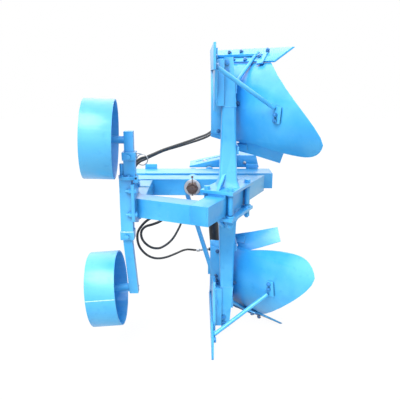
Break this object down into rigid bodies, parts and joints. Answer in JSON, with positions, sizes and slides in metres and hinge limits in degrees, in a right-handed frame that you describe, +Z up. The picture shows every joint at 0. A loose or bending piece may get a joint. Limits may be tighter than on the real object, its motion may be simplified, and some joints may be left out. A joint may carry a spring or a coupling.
{
  "type": "reversible plough",
  "caption": "Tractor-mounted reversible plough: opposed mouldboard bottoms on a turnover shaft, hydraulic headstock and gauge wheels on a square post.",
  "frame": {"origin": "middle of the outline on the ground under the working bottom's sole", "axes": "+X to the right of travel, +Y forward to the tractor, +Z up"},
  "size_m": [1.173, 1.3252, 1.62],
  "materials": {
    "blue_paint": "satin",
    "bright_steel": "satin",
    "rusty_steel": "rough",
    "grey_washer": "matte",
    "bush_bronze": "satin",
    "black_paint": "satin",
    "hose_rubber": "matte"
  },
  "bodies": {
    "headstock": {"hitch_beam": "blue_paint", "slotted_gusset": "blue_paint", "headstock_bolts": "bright_steel", "mast": "blue_paint", "lower_link_brackets": "blue_paint", "lower_link_pins": "bright_steel", "bearing_hub": "blue_paint", "bearing_bushes": "bush_bronze", "cylinder_strut": "blue_paint", "cylinder_base_pin": "bright_steel", "stand_sleeve": "blue_paint", "stand_pin": "bright_steel", "hoses": "hose_rubber", "hose_couplers": "bright_steel"},
    "stand": {"stand_tube": "blue_paint", "stand_foot": "blue_paint"},
    "frame": {"turnover_shaft": "rusty_steel", "thrust_washer": "grey_washer", "castle_nut": "rusty_steel", "split_pin": "rusty_steel", "crank_lever": "blue_paint", "main_beam": "blue_paint", "rear_beam": "blue_paint", "front_beam": "blue_paint", "shaft_boss": "blue_paint", "side_rail": "blue_paint", "beam_caps": "blue_paint", "post_plate": "blue_paint", "post_bolts": "blue_paint", "wheel_post": "blue_paint", "post_head": "blue_paint", "upper_sleeve": "blue_paint", "upper_leg": "blue_paint", "lower_leg": "blue_paint", "clamp_bolts": "blue_paint", "clamp_spacers": "blue_paint", "clamp_nuts": "blue_paint", "upper_frog": "blue_paint", "lower_frog": "blue_paint", "upper_share": "blue_paint", "lower_share": "blue_paint", "upper_mouldboard": "blue_paint", "lower_mouldboard": "blue_paint", "trash_boards": "blue_paint", "landsides": "blue_paint", "shin_strips": "blue_paint", "brace_rods": "blue_paint", "plough_bolts": "blue_paint", "hose_tie": "bright_steel"},
    "upper_arm": {"upper_wheel_arm": "blue_paint"},
    "lower_arm": {"lower_wheel_arm": "blue_paint"},
    "upper_gauge_wheel": {"upper_wheel": "blue_paint", "upper_hub": "blue_paint"},
    "lower_gauge_wheel": {"lower_wheel": "blue_paint", "lower_hub": "blue_paint"},
    "barrel": {"cylinder_barrel": "black_paint", "cylinder_gland": "black_paint", "hose_elbows": "bright_steel"},
    "rod": {"cylinder_rod": "bright_steel"}
  },
  "joints": [
    {"name": "turnover", "type": "hinge", "parent": "headstock", "child": "frame", "pos_m": [-0.04446, 0.17759, 0.81], "axis": [0, 1, 0], "range_deg": [0, 180], "deforming": ["hoses"]},
    {"name": "barrel_swing", "type": "hinge", "parent": "headstock", "child": "barrel", "pos_m": [0.11627, 0.43319, 0.21016], "axis": [0, 1, 0], "range_deg": [-21, 0]},
    {"name": "rod_slide", "type": "slide", "parent": "barrel", "child": "rod", "axis": [-0.0786, 0, 0.9969], "range_m": [-0.1256, 0]},
    {"name": "upper_arm_slide", "type": "slide", "parent": "frame", "child": "upper_arm", "axis": [0, 0, 1], "range_m": [0, 0.08]},
    {"name": "lower_arm_slide", "type": "slide", "parent": "frame", "child": "lower_arm", "axis": [0, 0, -1], "range_m": [0, 0.08]},
    {"name": "upper_wheel_spin", "type": "hinge", "parent": "upper_arm", "child": "upper_gauge_wheel", "pos_m": [-0.37446, -0.45141, 1.162], "axis": [-0.9968, -0.0697, 0.0384], "continuous": true},
    {"name": "lower_wheel_spin", "type": "hinge", "parent": "lower_arm", "child": "lower_gauge_wheel", "pos_m": [-0.37561, -0.45141, 0.3742], "axis": [-0.9969, 0, -0.0785], "continuous": true},
    {"name": "stand_slide", "type": "slide", "parent": "headstock", "child": "stand", "axis": [0, 0, 1], "range_m": [0, 0.35]}
  ],
  "couplings": [
    {"joint": "barrel_swing", "follows": "turnover", "ratio": -0.11657}
  ]
}
